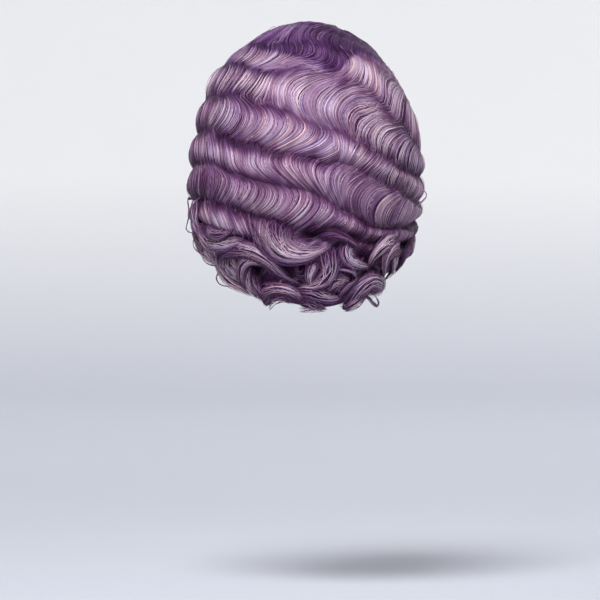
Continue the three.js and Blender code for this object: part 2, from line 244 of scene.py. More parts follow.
# Values of a table with a row for every roll and a group of numbers at each place across: straight lines
# between the places, and the row of each point's own roll.
def tableAcross(table, places, row, across):
    table = np.array(table, float)
    row = np.clip(row, 0, len(table) - 1)[None]
    values = []
    for column in np.moveaxis(table, 2, 0):
        lines = np.stack([np.interp(across, places, line) for line in column])
        values.append(np.take_along_axis(lines, row, 0)[0])
    return values


# Roll coordinates of all hollows and crests, in turn, at a place across: half numbers plus the lateness.
def hollowLines(across):
    rows = np.zeros((2 * len(waveMap["lateHollow"]) - 1, len(waveMap["places"])))
    rows[::2] = waveMap["lateHollow"]
    rows[1::2] = waveMap["lateCrest"]
    rows += np.arange(len(rows))[:, None] / 2
    lines = np.stack([np.interp(across, waveMap["places"], row) for row in rows])
    seats = waveMap["wobbleSeat"] * np.arange(len(rows)).reshape((-1,) + (1,) * np.ndim(across))
    stray = waveMap["wobble"] * lineNoise(across / waveMap["wobbleAcross"] + seats)
    stray[:3] = 0  # the parting and the hem keep still
    stray[-2:] = 0
    return lines + stray


# Roll coordinate counted by hollows: whole numbers in them, halves on the crests, even in between.
def hollowRoll(roll, across):
    lines = hollowLines(across)
    index = np.clip((lines <= roll).sum(0) - 1, 0, len(lines) - 2)[None]
    above = np.take_along_axis(lines, index, 0)[0]
    below = np.take_along_axis(lines, index + 1, 0)[0]
    return (index[0] + np.clip((roll - above) / (below - above), 0, 1)) / 2


# The way back: the roll coordinate counted by valley lines.
def valleyRoll(moved, across):
    lines = hollowLines(across)
    index = np.clip(np.floor(moved * 2).astype(int), 0, len(lines) - 2)[None]
    above = np.take_along_axis(lines, index, 0)[0]
    below = np.take_along_axis(lines, index + 1, 0)[0]
    return above + (below - above) * (moved * 2 - index[0])


# How full a roll is at a point, from 0 in its hollows to 1 on its crest: a rounded half sine.
def rollFullness(moved):
    return np.abs(np.sin(np.pi * moved)) ** waveMap["round"]


# Point of the waved hair: along the line from the cap to the smooth outside, short of it by the valley depth
# times one minus the fullness of the roll, then out by a height of its own.
def hairPoint(roll, across, height):
    shape = np.broadcast(roll, across, height).shape
    roll, across, height = (np.broadcast_to(v, shape).ravel().astype(float) for v in (roll, across, height))
    towards = hairDirection(roll, across)
    inside = formPoint(wigForm["head"], towards, wigForm["capWall"] + wigForm["gap"])
    outside = formPoint(wigForm["hair"], towards)
    thickness = np.linalg.norm(outside - inside, axis=1)
    moved = hollowRoll(roll, across)
    index = np.clip(np.floor(moved), 0, rollCount).astype(int)
    down = np.clip(moved - index, 0, 1)
    depth = np.stack([np.interp(across, waveMap["depthAcross"], row) for row in waveMap["valleyDepth"]])
    point = np.arange(len(roll))
    valley = depth[index, point] * (1 - down) + depth[np.minimum(index + 1, rollCount + 1), point] * down
    sink = np.where(moved > rollCount, waveMap["fringeSink"], valley * (1 - rollFullness(moved)))
    edge = np.clip((np.abs(across) - waveMap["edgeStart"]) / (180 - waveMap["edgeStart"]), 0, 1)
    thinned = 1 - (1 - waveMap["edgeThinning"]) * edge**2
    level = (thickness - np.minimum(sink, waveMap["deepest"] * thickness)) * thinned + height
    outward = (outside - inside) / thickness[:, None]
    return (inside + outward * level[:, None]).reshape(shape + (3,)), outward.reshape(shape + (3,))


# Place of a pixel on the wig: its distance from the picture's middle column and crown row, times the scale.
def picturePlace(column, row):
    x = -(column - picture["middle"]) * picture["pixel"]
    z = wigForm["hair"]["crownZ"] - (row - picture["crown"]) * picture["pixel"]
    return x, z


# Points in millimetres, four-sided and three-sided faces and a UV for each point, put into a new object.
def putMesh(name, points, quads, triangles, uv, material):
    mesh = bpy.data.meshes.new(name)
    mesh.vertices.add(len(points))
    mesh.vertices.foreach_set("co", (points * millimetre).astype(np.float32).ravel())
    corners = np.concatenate([quads.ravel(), triangles.ravel()]).astype(np.int32)
    starts = np.concatenate([np.arange(len(quads)) * 4, len(quads) * 4 + np.arange(len(triangles)) * 3])
    mesh.loops.add(len(corners))
    mesh.loops.foreach_set("vertex_index", corners)
    mesh.polygons.add(len(starts))
    mesh.polygons.foreach_set("loop_start", starts.astype(np.int32))
    mesh.polygons.foreach_set("use_smooth", np.ones(len(starts), bool))
    mesh.update(calc_edges=True)
    layer = mesh.uv_layers.new(name="UVMap")
    layer.data.foreach_set("uv", uv[corners].astype(np.float32).ravel())
    mesh.validate()
    mesh.materials.append(material)
    piece = bpy.data.objects.new(name, mesh)
    bpy.context.scene.collection.objects.link(piece)
    return piece


# Closed tubes: each ring is joined to the next by four-sided faces, and the first and last ring to a point.
# Rings are tube by step by side by xyz, ends are two points a tube and looks a UV for every point.
def tubeMesh(name, rings, ends, looks, material):
    count, steps, sides = rings.shape[:3]
    points = np.concatenate([rings.reshape(count, -1, 3), ends], 1)
    ring = np.arange(steps - 1)[:, None] * sides
    here = np.arange(sides)
    following = (here + 1) % sides
    below = ring + sides
    quad = np.stack([ring + here, below + here, below + following, ring + following], -1).reshape(-1, 4)
    first, top = steps * sides, (steps - 1) * sides
    root = np.stack([np.full(sides, first), here, following], 1)
    tip = np.stack([np.full(sides, first + 1), top + following, top + here], 1)
    base = (np.arange(count) * (first + 2))[:, None, None]
    return putMesh(
        name,
        points.reshape(-1, 3),
        (quad[None] + base).reshape(-1, 4),
        (np.concatenate([root, tip])[None] + base).reshape(-1, 3),
        looks.reshape(-1, 2),
        material,
    )


# Hair strands: a flattened three-cornered section carried along each path, with one corner outwards, and a
# point at each end. Paths and outward are strand by step by xyz, and a point's UV is its tone and warmth.
# The two edges underneath are kept sharp, so that only the top is shaded round.
def strandMesh(name, paths, outward, width, thick, tone, warmth, material, tip=2.0):
    sides = 3
    steps = paths.shape[1]
    along = unit(np.gradient(paths, axis=1))
    side = unit(np.cross(along, outward))
    up = np.cross(side, along)
    angle = np.radians([90, 210, 330])
    across = side[:, :, None] * (np.cos(angle)[:, None] * width[..., None, None] / 2)
    outof = up[:, :, None] * (np.sin(angle)[:, None] * thick[..., None, None] / 2)
    ends = np.stack([paths[:, 0] - along[:, 0] * tip, paths[:, -1] + along[:, -1] * tip], 1)
    looks = np.stack(np.broadcast_arrays(tone, warmth), -1)
    uv = np.concatenate([np.repeat(looks, sides, axis=1), looks[:, [0, -1]]], 1)
    piece = tubeMesh(name, paths[:, :, None] + across + outof, ends, uv, material)
    edges = np.zeros(len(piece.data.edges) * 2, np.int32)
    piece.data.edges.foreach_get("vertices", edges)
    edges = edges.reshape(-1, 2)
    corner = (edges % (steps * sides + 2)) % sides
    under = (np.abs(edges[:, 0] - edges[:, 1]) == sides) & (corner[:, 0] > 0)
    sharp = piece.data.attributes.new("sharp_edge", "BOOLEAN", "EDGE")
    sharp.data.foreach_set("value", under)
    return piece


def gridFaces(number):  # four-sided faces between neighbouring rows and columns of numbered points
    corners = [number[:-1, :-1], number[1:, :-1], number[1:, 1:], number[:-1, 1:]]
    return np.stack(corners, -1).reshape(-1, 4)


# A closed wall between two grids of the same size: both grids, and a strip round their common edge.
def wallMesh(name, outer, inner, uv, material):
    rows, columns = outer.shape[:2]
    number = np.arange(rows * columns).reshape(rows, columns)
    face = gridFaces(number)
    back = rows * columns + face[:, ::-1]
    rim = np.concatenate([number[0], number[1:, -1], number[-1, -2::-1], number[-2:0:-1, 0]])
    following = np.roll(rim, -1)
    strip = np.stack([rim, following, following + rows * columns, rim + rows * columns], 1)
    points = np.concatenate([outer.reshape(-1, 3), inner.reshape(-1, 3)])
    quads = np.concatenate([face, back, strip])
    noTriangles = np.zeros((0, 3), int)
    return putMesh(name, points, quads, noTriangles, np.tile(uv.reshape(-1, 2), (2, 1)), material)


# shade: a painted shade, multiplied into the material's colour
def addShade(piece, shade):  # a number a point, by which the material darkens
    layer = piece.data.attributes.new("shade", "FLOAT", "POINT")
    layer.data.foreach_set("value", shade.astype(np.float32).ravel())


def newMaterial(name, values):  # constant values go straight on the shader's own sockets
    material = bpy.data.materials.new(name)
    material.use_nodes = True
    tree = material.node_tree
    shader = tree.nodes["Principled BSDF"]
    for socket, value in values.items():
        shader.inputs[socket].default_value = value
    return material, tree, shader


def addNode(tree, kind, inputs=None, **settings):  # an input is a number, or a socket to link
    node = tree.nodes.new(kind)
    for key, value in settings.items():
        setattr(node, key, value)
    for key, value in (inputs or {}).items():
        if isinstance(value, bpy.types.NodeSocket):
            tree.links.new(value, node.inputs[key])
        else:
            node.inputs[key].default_value = value
    return node


def mathNode(tree, operation, *values):  # one maths node over sockets or numbers
    return addNode(tree, "ShaderNodeMath", dict(enumerate(values)), operation=operation).outputs[0]


def addBump(tree, shader, height, strength, depth):  # small relief from a height, on the shader's normal
    bump = addNode(tree, "ShaderNodeBump", {"Height": height, "Strength": strength, "Distance": depth})
    tree.links.new(bump.outputs["Normal"], shader.inputs["Normal"])


def rampNode(tree, factor, stops):  # stops are position and linear colour
    node = addNode(tree, "ShaderNodeValToRGB", {"Fac": factor})
    elements = node.color_ramp.elements
    while len(elements) < len(stops):
        elements.new(0.5)
    for element, (position, colour) in zip(elements, stops):
        element.position = position
        element.color = (*colour, 1)
    return node.outputs["Color"]


# Hair fibre: the strand's own tone, shifted by slow patches over the head, picks a colour between deep
# purple and pale lavender grey, and its warmth tints that from violet to rose.
fibreLook = {
    "stops": [
        (0.0, (0.027, 0.004, 0.031)),
        (0.35, (0.112, 0.033, 0.116)),
        (0.65, (0.287, 0.166, 0.275)),
        (1.0, (0.595, 0.472, 0.570)),
    ],
    "tints": [(0.0, (0.79, 0.71, 1.05)), (0.25, (0.92, 0.98, 1.06)), (1.0, (1.14, 1.0, 0.86))],
    "patchScale": 28.0,
    "patchDetail": 3.0,
    "patchShare": 0.35,
    "shader": {"Roughness": 0.5, "Metallic": 0.16, "Specular IOR Level": 0.3},
}


def fibreMaterial():
    look = fibreLook
    material, tree, shader = newMaterial("waved fibre", look["shader"])
    uv = addNode(tree, "ShaderNodeUVMap", uv_map="UVMap")
    parts = addNode(tree, "ShaderNodeSeparateXYZ", {"Vector": uv.outputs["UV"]})
    place = addNode(tree, "ShaderNodeTexCoord").outputs["Object"]
    noise = {"Vector": place, "Scale": look["patchScale"], "Detail": look["patchDetail"]}
    patch = addNode(tree, "ShaderNodeTexNoise", noise).outputs["Fac"]
    shift = mathNode(tree, "MULTIPLY_ADD", patch, look["patchShare"], -look["patchShare"] / 2)
    tone = mathNode(tree, "ADD", parts.outputs["X"], shift)
    colour = rampNode(tree, tone, look["stops"])
    tint = rampNode(tree, parts.outputs["Y"], look["tints"])
    tinted = addNode(tree, "ShaderNodeVectorMath", {0: colour, 1: tint}, operation="MULTIPLY")
    tree.links.new(tinted.outputs["Vector"], shader.inputs["Base Color"])
    return material


# Hair under the top strands, in colours darker than theirs as painted shade: streaks from noise drawn out
# along the length, as colour and as bump, times the painted shade of each point.
underLook = {
    "stops": [(0.3, (0.046, 0.010, 0.056)), (0.6, (0.130, 0.044, 0.145)), (0.85, (0.27, 0.14, 0.28))],
    "streaks": (900.0, 6.0, 1.0),  # times across, along and unused
    "streakDetail": 4.0,
    "bump": 0.5,
    "bumpDepth": 0.0006,
    "shader": {"Roughness": 0.6, "Specular IOR Level": 0.06},
}


def underMaterial():
    look = underLook
    material, tree, shader = newMaterial("under hair", look["shader"])
    uv = addNode(tree, "ShaderNodeUVMap", uv_map="UVMap").outputs["UV"]
    drawn = addNode(tree, "ShaderNodeMapping", {"Vector": uv, "Scale": look["streaks"]}).outputs["Vector"]
    noise = {"Vector": drawn, "Scale": 1.0, "Detail": look["streakDetail"]}
    streak = addNode(tree, "ShaderNodeTexNoise", noise).outputs["Fac"]
    colour = rampNode(tree, streak, look["stops"])
    shade = addNode(tree, "ShaderNodeAttribute", attribute_name="shade").outputs["Fac"]
    shaded = addNode(tree, "ShaderNodeVectorMath", {"Vector": colour, "Scale": shade}, operation="SCALE")
    tree.links.new(shaded.outputs["Vector"], shader.inputs["Base Color"])
    addBump(tree, shader, streak, look["bump"], look["bumpDepth"])
    return material


# Cap net: two crossed waves make the mesh, and a slower wave makes the sewn rows that hold the hair.
netLook = {
    "stops": [(0.0, (0.018, 0.011, 0.021)), (0.5, (0.055, 0.035, 0.062)), (1.0, (0.12, 0.085, 0.13))],
    # direction, scale and distortion of the waves
    "mesh": [("X", 320.0, 0.4), ("Y", 160.0, 0.4)],
    "rows": ("Y", 14.0, 0.1),
    "rowSharpness": 8.0,
    "bump": 0.6,
    "bumpDepth": 0.0006,
    "shader": {"Roughness": 0.85},
}


def netMaterial():
    look = netLook
    material, tree, shader = newMaterial("cap net", look["shader"])
    uv = addNode(tree, "ShaderNodeUVMap", uv_map="UVMap").outputs["UV"]
    waves = []
    for way, scale, distortion in (*look["mesh"], look["rows"]):
        inputs = {"Vector": uv, "Scale": scale, "Distortion": distortion}
        wave = addNode(tree, "ShaderNodeTexWave", inputs, bands_direction=way)
        waves.append(wave.outputs["Fac"])
    cross = mathNode(tree, "MULTIPLY", waves[0], waves[1])
    sewn = mathNode(tree, "POWER", waves[2], look["rowSharpness"])
    both = mathNode(tree, "MAXIMUM", cross, sewn)
    tree.links.new(rampNode(tree, both, look["stops"]), shader.inputs["Base Color"])
    addBump(tree, shader, both, look["bump"], look["bumpDepth"])
    return material


fibre = fibreMaterial()
underHair = underMaterial()
capNet = netMaterial()
waveNodes = [f"wave_{k + 1}" for k in range(rollCount)]

# Fitted cap: a thin wall on the head form, which grows outwards by its thickness, from the parting down to
# the eighth valley.
capSettings = {"columns": 91, "rows": 41, "lastRoll": 8.0, "edge": 174.0}


def makeCap():
    rolls = np.linspace(0, capSettings["lastRoll"], capSettings["rows"])
    across = np.linspace(-capSettings["edge"], capSettings["edge"], capSettings["columns"])
    roll, side = np.meshgrid(rolls, across, indexing="ij")
    towards = hairDirection(roll.ravel(), side.ravel())
    shape = roll.shape + (3,)
    outer = formPoint(wigForm["head"], towards, wigForm["capWall"]).reshape(shape)
    inner = formPoint(wigForm["head"], towards).reshape(shape)
    uv = np.stack([side / 360 + 0.5, roll / capSettings["lastRoll"]], -1)
    cap = wallMesh("fittedCap", outer, inner, uv, capNet)
    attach(cap, "root")
    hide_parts("wig_cap")


makeCap()
print("cap made")

# Hollows between the curls: picture column, row and radius in pixels. There the hair lies deeper, and painted
# shade darkens it.
hollowSettings = {
    "places": [
        (312, 233, 9),
        (299, 266, 10),
        (257, 266, 6),
        (339, 246, 6),
        (363, 253, 8),
        (245, 240, 8),
        (356, 270, 5),
    ],
    "sink": 6.0,
    # painted shade taken off the wave strands' tone in the hollows
    "tone": 0.9,
    # painted shade on the under hair in the hollows
    "shade": 0.85,
}


def hollowShare(points):  # bell curves round the hollows, on the back of the wig
    share = np.zeros(points.shape[:-1])
    for column, row, radius in hollowSettings["places"]:
        x, z = picturePlace(column, row)
        away = ((points[..., 0] - x) ** 2 + (points[..., 2] - z) ** 2) / (radius * picture["pixel"]) ** 2
        share = np.maximum(share, np.exp(-away) * (points[..., 1] > 0))
    return share


# Under hair: a closed wall from the parting to the hem that fills the wave form behind the top strands. Its
# painted shade is darkest in the rolls' hollows and lifts with their fullness; the inside has an even painted
# shade.
underSettings = {
    "columns": 121,
    "rowsPerRoll": 9,
    "lastRoll": 9.9,
    "edge": 174.0,
    "sink": 2.0,
    "hemShare": 0.5,  # the inside comes this share of the way out to the hem
    # painted shade in the rolls' hollows, and an even painted shade on the inside
    "hollowShade": 0.3,
    "insideShade": 0.5,
}


def makeUnderHair():
    s = underSettings
    rows = (rollCount + 1) * s["rowsPerRoll"] + 1
    rolls = np.linspace(0, s["lastRoll"], rows)
    across = np.linspace(-s["edge"], s["edge"], s["columns"])
    roll, side = np.meshgrid(rolls, across, indexing="ij")
    outer, outward = hairPoint(roll, side, -s["sink"])
    deep = hollowShare(outer)
    outer = outer - outward * (deep * hollowSettings["sink"])[..., None]
    towards = hairDirection(roll.ravel(), side.ravel())
    inner = formPoint(wigForm["head"], towards, wigForm["capWall"] + wigForm["gap"]).reshape(outer.shape)
    hem = np.clip(roll - rollCount, 0, 1)[..., None] * s["hemShare"]
    inner = inner * (1 - hem) + (outer - outward) * hem
    uv = np.stack([side / 360 + 0.5, roll / (rollCount + 1)], -1)
    under = wallMesh("underHair", outer, inner, uv, underHair)
    # painted shade: dark in the rolls' hollows, lighter with their fullness, darker in the hollows between
    # curls
    dark = s["hollowShade"]
    shade = (dark + (1 - dark) * rollFullness(hollowRoll(roll, side))) * (1 - hollowSettings["shade"] * deep)
    addShade(under, np.stack([shade, np.full_like(shade, s["insideShade"])]))
    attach(under, "root")
    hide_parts(*waveNodes, "curled_fringe")


makeUnderHair()
print("under hair made")

# Wave strands: each roll's own strands run from the hollow above it to a little beyond the one below it.
# Inside a roll a strand leans to one side, hangs straight once and leans to the other side.
strandSettings = {
    "perRoll": [260, 400, 560, 780, 860, 880, 900, 880, 820],
    "steps": [10, 12, 14, 17, 17, 17, 16, 14, 14],
    "fineSteps": 48,
    "above": (0.02, 0.2),  # rolls above the hollow where a strand starts
    "partingGap": (0.04, 0.16),  # and how near the parting it may
    "rollsLong": (1.1, 1.6),
    "rootLonger": 0.9,  # rolls more for the strands of the first two
    "lastRoll": 9.7,
    "edge": 177.0,
    # for every roll, at the places across: lean at its top, share down where it is straight, lean at its foot
    "lean": [
        [(-15, 0.5, 15)] * 8,
        [(30, 0.5, -30)] * 3 + [(25, 0.5, -25)] * 3 + [(30, 0.5, -30)] * 2,
        [(30, 0.5, -30), (55, 0.6, -45), (30, 0.5, -10), (-8, 0.72, 50)]
        + [(-12, 0.75, 40), (-18, 0.85, 20), (-45, 1.6, 0), (-40, 0.6, 30)],
        [(50, 0.4, -50), (45, 0.45, -74), (42, 0.33, -74), (32, 0.5, -74)]
        + [(36, 0.75, -60), (40, 0.5, -15), (-55, 0.9, -20), (-50, 0.6, 40)],
        [(50, 0.4, -50), (62, 0.35, -60), (8, 0.3, -52), (-52, 0.7, 50)]
        + [(-42, 0.7, 70), (-64, 0.72, 74), (-66, 0.66, 76), (-50, 0.6, 50)],
        [(55, 0.4, -55), (70, 0.4, -66), (76, 0.38, -66), (70, 0.36, -62)]
        + [(60, 0.15, -68), (-32, 1.6, 0), (-58, 0.66, 55), (-50, 0.6, 50)],
        [(55, 0.5, -40), (58, 0.66, -45), (45, 0.55, 66), (-15, 0.1, 66)]
        + [(-35, 0.33, 66), (-54, 0.62, 66), (-72, 0.62, 76), (-50, 0.6, 50)],
        [(55, 0.4, -55), (72, 0.42, -62), (70, 0.28, -60), (55, 0.3, -56)]
        + [(40, 0.14, -40), (20, 0.1, -38), (-62, 0.6, 30), (-50, 0.6, 50)],
        [(55, 0.5, -50), (62, 0.7, -45), (50, 0.6, -40), (-20, 0.3, 20)]
        + [(-60, 0.9, -30), (-70, 0.6, 36), (-56, 0.5, 56), (-50, 0.6, 50)],
        [(30, 0.5, -30)] * 8,
    ],
    "leanRound": 0.06,  # rolls to each side over which a turn of the lean is rounded
    "width": (0.6, 1.2),
    "endWidth": 0.35,  # share of it at the ends
    "flatness": 0.42,
    "height": (-1.1, 0.1),
    "buried": 1.6,  # both ends dip under their neighbours by this much, over these shares of the length
    "startDip": 0.11,
    "stopDip": 0.14,
    "lockWidth": 1.3,  # across, of the small locks that the strands gather in
    "lockHeight": 0.25,
    "lockStray": 0.5,
    "lockPace": 0.5,
    "broadWidth": 4.0,
    "broadHeight": 0.35,
    "broadSlant": 0.3,
    "stray": 0.8,  # across that a strand wanders, over about a roll
    "strayPace": 0.8,
    "tone": 0.5,
    "toneSpread": 0.14,
    "sideSpread": 0.5,  # more of it at the sides, from this place across
    "sideFrom": 40,
    "calmHollow": 0.5,  # share of the spread that is left in the hollows
    "lockTone": 0.13,
    "rollSeat": 17.3,  # so far apart the rolls read their noise
    "warmth": 0.5,
    "warmSpread": 0.2,
    "warmPatch": 0.15,
    "warmPatches": 30,
    "warmSeat": 7.3,
    "bandAcross": [-85, -55, -10, 35, 68],
    "firstBand": 2,  # the roll of the first row below
    # for every roll, at those places: its own tone, partly painted light, and the rise of painted shading
    # from dark in its hollow to light on its crest
    "paintedBandShading": [
        [(0.3, 0.1), (0.34, 0.1), (0.0, 0.0), (-0.05, 0.0), (0.15, 0.1)],
        [(0.05, 0.5), (0.0, 0.4), (0.14, 0.1), (0.1, 0.75), (0.1, 0.35)],
        [(0.0, 0.75), (0.03, 0.7), (0.1, 0.15), (0.13, 0.45), (0.0, 0.65)],
        [(-0.2, 0.65), (-0.03, 0.7), (-0.05, 0.65), (0.03, 0.45), (0.06, 0.55)],
        [(-0.12, 0.8), (-0.2, 0.9), (0.03, 0.45), (0.07, 0.15), (0.13, 0.3)],
        [(-0.08, 0.05), (0.05, 0.75), (0.09, 0.4), (-0.1, 0.7), (-0.03, 0.2)],
        [(-0.02, 0.85), (0.02, 0.95), (-0.03, 0.8), (-0.1, 0.3), (0.2, 0.2)],
    ],
    "ownFullness": 0.6,  # the fullness at which a roll has its own tone
    # the painted shading lags this share of a roll behind the form
    "shadeLag": 0.05,  # the tone comes this share of a roll after the form
    "rootTone": 0.38,  # darker towards the parting, as far as these rolls
    "rootAcross": [-120, -83, -50, -28, -12, 5, 14, 24, 60, 120],
    "rootRolls": [3.2, 3.65, 3.75, 3.75, 3.78, 3.7, 3.2, 2.75, 2.62, 2.6],
    "rootFade": 0.16,
    "rootCool": 0.5,
    # the painted shade in the rolls' hollows is also cooler
    "hollowCool": 0.5,  # cooler in the hollows too, down to this roll and left of this place
    "coolRoll": 5.4,
    "coolRollFade": 0.5,
    "coolAcross": 0,
    "coolAcrossFade": 40,
    "lowTone": 0.04,  # a little darker with every roll below this one
    "lowRoll": 5.5,
    "lowMost": 4,
    "downStep": 0.05,  # rolls and degrees across over which the form's slopes are measured
    "sideStep": 0.5,
    "leastDegree": 0.3,  # millimetres that a degree across is taken to be wide at least
}


# Lean of the hair in degrees: on both sides of the share where a roll's hair is straight it grows to the
# value at the roll's top or foot, quickly at first, as one minus the square of what is left.
def strandLean(moved, across):
    whole = np.clip(np.floor(moved).astype(int), 0, rollCount)
    down = np.clip(moved - whole, 0, 1)
    top, straight, foot = tableAcross(strandSettings["lean"], waveMap["places"], whole, across)
    above = np.clip((straight - down) / straight, 0, 1)
    below = np.clip((down - straight) / np.maximum(1 - straight, 0.01), 0, 1)
    return top * (1 - (1 - above) ** 2) + foot * (1 - (1 - below) ** 2)


# Roll and across of strands: across is the running sum of the tangent of the lean, times the ratio of a
# roll's length to a degree's width there, about the strand's own middle. Three rounds settle it.
def sweptStrands(moved, across):
    s = strandSettings
    hair = wigForm["hair"]
    swept = across
    for _ in range(3):
        roll = valleyRoll(moved, swept)
        flat, side = roll.ravel(), swept.ravel()
        here = formPoint(hair, hairDirection(flat, side))
        down = formPoint(hair, hairDirection(flat + s["downStep"], side)) - here
        beside = formPoint(hair, hairDirection(flat, side + s["sideStep"])) - here
        rollLength = np.linalg.norm(down, axis=1) / s["downStep"]
        degreeWidth = np.maximum(np.linalg.norm(beside, axis=1) / s["sideStep"], s["leastDegree"])
        lean = sum(strandLean(moved + s["leanRound"] * k, swept) for k in (-1, 0, 1)) / 3
        slope = np.tan(np.radians(lean)) * (rollLength / degreeWidth).reshape(roll.shape)
        shift = np.cumsum(slope * np.gradient(roll, axis=1), 1)
        swept = np.clip(across + shift - shift.mean(1, keepdims=True), -s["edge"], s["edge"])
    return valleyRoll(moved, swept), swept


# The same strands at fewer points, evenly spaced by the running sum of their steps' lengths.
def evenSteps(roll, across, steps):
    paths, _ = hairPoint(roll, across, 0.0)
    run = np.cumsum(np.linalg.norm(np.diff(paths, axis=1, prepend=paths[:, :1]), axis=2), 1)
    row = 2.0 * np.arange(len(roll))[:, None]
    known = (run / run[:, -1:] + row).ravel()
    wanted = (np.linspace(0, 1, steps)[None] + row).ravel()
    return [np.interp(wanted, known, v.ravel()).reshape(-1, steps) for v in (roll, across)]


# Tone and warmth of wave strands: the roll's own tone and a painted shading that rises with its fullness,
# painted shade in its hollows and painted highlight on its crest, plus noise of each strand and of broad
# locks, less the dark of the roots and of the lower rolls and a painted shade in the hollows between curls.
# Roots are cooler, and so is the painted shade in the rolls' hollows on the upper left.
def waveLooks(index, slot, roll, across, moved, inHollow):
    s = strandSettings
    count = len(slot)
    full = rollFullness(moved)
    atSide = np.clip((np.abs(across) - s["sideFrom"]) / s["sideFrom"], 0, 1)
    spread = s["toneSpread"] * (s["calmHollow"] + (1 - s["calmHollow"]) * full)
    spread = spread * (1 + s["sideSpread"] * atSide)
    tone = s["tone"] + spread * randomHair.normal(0, 1, count)[:, None]
    broad = across / s["broadWidth"] + index * s["rollSeat"] + roll * s["broadSlant"]
    tone = tone + s["lockTone"] * lineNoise(broad)
    own, rise = tableAcross(s["paintedBandShading"], s["bandAcross"], moved.astype(int) - s["firstBand"], across)
    # painted shade in the roll's hollow and painted highlight on its crest
    tone = tone + own + rise * (rollFullness(moved - s["shadeLag"]) - s["ownFullness"])
    rootEnd = readCurve(s["rootAcross"], s["rootRolls"], across.ravel()).reshape(across.shape)
    root = np.clip((rootEnd - roll) / s["rootFade"], 0, 1)
    tone = tone - s["rootTone"] * root
    tone = tone - s["lowTone"] * np.clip(roll - s["lowRoll"], 0, s["lowMost"])
    # painted shade in the hollows between curls
    tone = tone - hollowSettings["tone"] * inHollow
    warmth = s["warmth"] + s["warmSpread"] * randomHair.normal(0, 1, count)
    warmth = warmth + s["warmPatch"] * lineNoise(slot * s["warmPatches"] + index * s["warmSeat"])
    # violet: where the painted shade in the rolls' hollows is made cooler
    violet = np.clip((s["coolRoll"] - roll) / s["coolRollFade"], 0, 1)
    violet = violet * np.clip((s["coolAcross"] - across) / s["coolAcrossFade"], 0, 1)
    warmth = warmth[:, None] - s["rootCool"] * root - s["hollowCool"] * violet * (1 - full)
    return np.clip(tone, *toneEnds), np.clip(warmth, 0, 1)


# Strands of one roll: evenly jittered places across, each swept by the lean. The height is a draw, plus the
# round of its small lock and broad noise, less a dip at both ends and the depth of a hollow between curls.
def makeWaveStrands(index):
    s = strandSettings
    count, steps = s["perRoll"][index], s["steps"][index]
    slot = (np.arange(count) + randomHair.uniform(0, 1, count)) / count
    place = (slot * 2 - 1)[:, None] * s["edge"]
    start = index - randomHair.uniform(*s["above"], count)[:, None]
    start = np.maximum(start, randomHair.uniform(*s["partingGap"], count)[:, None])
    long = randomHair.uniform(*s["rollsLong"], count) + s["rootLonger"] * (index < 2)
    stop = np.minimum(start + long[:, None], s["lastRoll"])
    moved = start + (stop - start) * np.linspace(0, 1, s["fineSteps"])[None]
    seat = randomHair.uniform(*noiseSeats, count)[:, None]
    across = place + s["stray"] * lineNoise(seat + moved * s["strayPace"])
    roll, across = evenSteps(*sweptStrands(moved, across), steps)
    moved = hollowRoll(roll, across)
    t = np.linspace(0, 1, steps)[None]
    lock = place / s["lockWidth"] + s["lockStray"] * lineNoise(seat + roll * s["lockPace"])
    off = lock - np.floor(lock) - 0.5
    height = randomHair.uniform(*s["height"], count)[:, None] + s["lockHeight"] * (0.5 - 4 * off**2)
    height = height + s["broadHeight"] * lineNoise(across / s["broadWidth"] + roll * s["broadSlant"])
    dip = np.clip(1 - t / s["startDip"], 0, 1) ** 2 + np.clip(1 - (1 - t) / s["stopDip"], 0, 1) ** 2
    paths, outward = hairPoint(roll, across, height - s["buried"] * dip)
    taper = s["endWidth"] + (1 - s["endWidth"]) * np.sin(np.pi * t) ** 0.5
    width = randomHair.uniform(*s["width"], count)[:, None] * taper
    inHollow = hollowShare(paths)
    tone, warmth = waveLooks(index, slot, roll, across, moved, inHollow)
    paths = paths - outward * (inHollow * hollowSettings["sink"])[..., None]
    name = f"waveStrands_{index + 1}"
    piece = strandMesh(name, paths, outward, width, width * s["flatness"], tone, warmth, fibre)
    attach(piece, "root")
    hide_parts(waveNodes[index])


for index in range(rollCount):
    makeWaveStrands(index)
print("wave strands made:", sum(strandSettings["perRoll"]))

